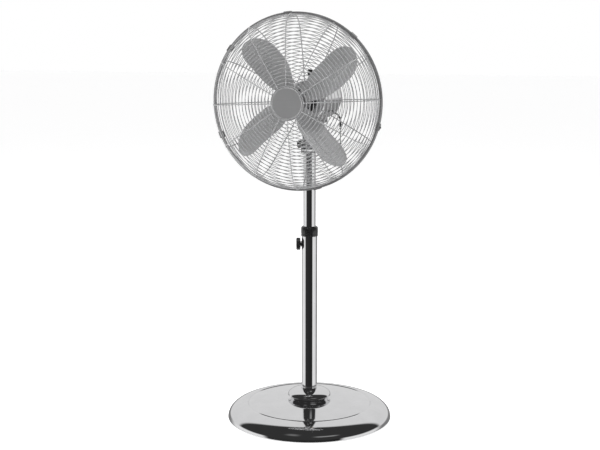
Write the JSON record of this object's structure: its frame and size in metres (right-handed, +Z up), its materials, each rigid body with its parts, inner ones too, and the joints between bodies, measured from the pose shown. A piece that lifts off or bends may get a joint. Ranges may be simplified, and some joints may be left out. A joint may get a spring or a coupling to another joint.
{
  "type": "pedestal fan",
  "caption": "Floor-standing fan with a domed wire grille, pitched metal blades, a tilting and swinging motor head, a telescopic pole and a round weighted base.",
  "frame": {"origin": "centre of the base's footprint, on the floor", "axes": "+Z up, the fan blows towards -Y, +X is on the right as seen from the front"},
  "size_m": [0.4249, 0.416, 1.0227],
  "materials": {
    "chrome": "polished",
    "wire_chrome": "polished",
    "blade_aluminium": "satin, pressed",
    "badge_grey": "satin",
    "black_plastic": "moulded",
    "white_plastic": "moulded",
    "gear_plastic": "moulded acetal",
    "steel": "zinc plated",
    "core_steel": "laminated, varnished",
    "winding": "enamelled copper",
    "ballast": "cast concrete",
    "bronze": "sintered",
    "rubber": "matt",
    "die_cast": "die cast"
  },
  "bodies": {
    "stand": {"base_foot_ring": "rubber", "base_weight": "ballast", "base_shell": "chrome", "pole_socket": "steel", "socket_bolts": "steel", "socket_nuts": "steel", "base_cover_disc": "chrome", "lower_tube": "chrome", "lock_boss": "steel", "collar_bush": "white_plastic", "pole_collar": "black_plastic"},
    "height_lock": {"height_knob": "black_plastic", "height_knob_screw": "steel"},
    "column": {"upper_tube": "chrome", "tube_glide": "white_plastic", "tilt_bracket": "chrome", "tilt_bolt": "steel", "tilt_nut": "steel"},
    "tilt_lock": {"tilt_knob": "black_plastic"},
    "neck": {"neck_block": "chrome", "swivel_pin": "steel", "thrust_washer": "bronze", "link_post": "steel", "link_clip": "steel"},
    "link": {"link_arm": "steel"},
    "head": {"oscillator_case": "chrome", "spindle_bush": "bronze", "rear_bracket": "die_cast", "motor_front_cover": "chrome", "motor_rear_cover": "chrome", "casing_screws": "steel", "stator_mount": "die_cast", "stator_core": "core_steel", "stator_windings": "winding", "motor_bearings": "steel", "grille_nut": "black_plastic", "rear_hub_plate": "wire_chrome", "rear_grille": "wire_chrome", "rear_rim_ring": "wire_chrome", "front_grille": "wire_chrome", "front_rim_ring": "wire_chrome", "front_hub_plate": "wire_chrome", "badge": "badge_grey", "badge_ring": "chrome", "rim_clips": "wire_chrome", "clip_screw": "steel", "pull_cord_guide": "black_plastic"},
    "rotor": {"motor_shaft": "steel", "worm": "steel", "rotor_core": "core_steel", "blade_spider": "die_cast", "fan_blades": "blade_aluminium", "blade_rivets": "steel"},
    "spindle": {"worm_spindle": "steel", "worm_wheel": "gear_plastic"},
    "crank": {"crank_gear": "gear_plastic"},
    "clutch": {"clutch_knob": "black_plastic", "clutch_lever": "steel"},
    "pull": {"pull_cord": "rubber", "pull_bead": "black_plastic"}
  },
  "joints": [
    {"name": "height_slide", "type": "slide", "parent": "stand", "child": "column", "axis": [0, 0, 1], "range_m": [-0.15, 0.15]},
    {"name": "height_lock_turn", "type": "hinge", "parent": "stand", "child": "height_lock", "pos_m": [0, 0, 0.45], "axis": [-0.9397, -0.342, 0], "range_deg": [0, 360]},
    {"name": "head_tilt", "type": "hinge", "parent": "column", "child": "neck", "pos_m": [0, 0, 0.7], "axis": [1, 0, 0], "range_deg": [-30, 15]},
    {"name": "tilt_lock_turn", "type": "hinge", "parent": "column", "child": "tilt_lock", "pos_m": [0, 0, 0.7], "axis": [-1, 0, 0], "range_deg": [0, 360]},
    {"name": "oscillation", "type": "hinge", "parent": "neck", "child": "head", "pos_m": [0, 0, 0.744], "axis": [0, 0, 1], "range_deg": [-42, 42]},
    {"name": "link_swing", "type": "hinge", "parent": "neck", "child": "link", "pos_m": [0.018, 0, 0.745], "axis": [0, 0, 1], "range_deg": [-42, 42]},
    {"name": "fan_spin", "type": "hinge", "parent": "head", "child": "rotor", "pos_m": [0, 0, 0.809], "axis": [0, 1, 0], "continuous": true},
    {"name": "spindle_turn", "type": "hinge", "parent": "head", "child": "spindle", "pos_m": [0.013, 0.082, 0.794], "axis": [0, 0, 1], "continuous": true},
    {"name": "crank_turn", "type": "hinge", "parent": "head", "child": "crank", "pos_m": [0, 0.064, 0.752], "axis": [0, 0, 1], "continuous": true},
    {"name": "clutch_pull", "type": "slide", "parent": "head", "child": "clutch", "axis": [0, 0, 1], "range_m": [0, 0.004]},
    {"name": "cord_pull", "type": "slide", "parent": "head", "child": "pull", "axis": [0, 0, -1], "range_m": [0, 0.01], "stiffness_N_per_m": 300}
  ],
  "couplings": [
    {"joint": "spindle_turn", "follows": "fan_spin", "ratio": 0.025},
    {"joint": "crank_turn", "follows": "fan_spin", "ratio": -0.005},
    {"joint": "link_swing", "follows": "oscillation", "ratio": 1}
  ]
}
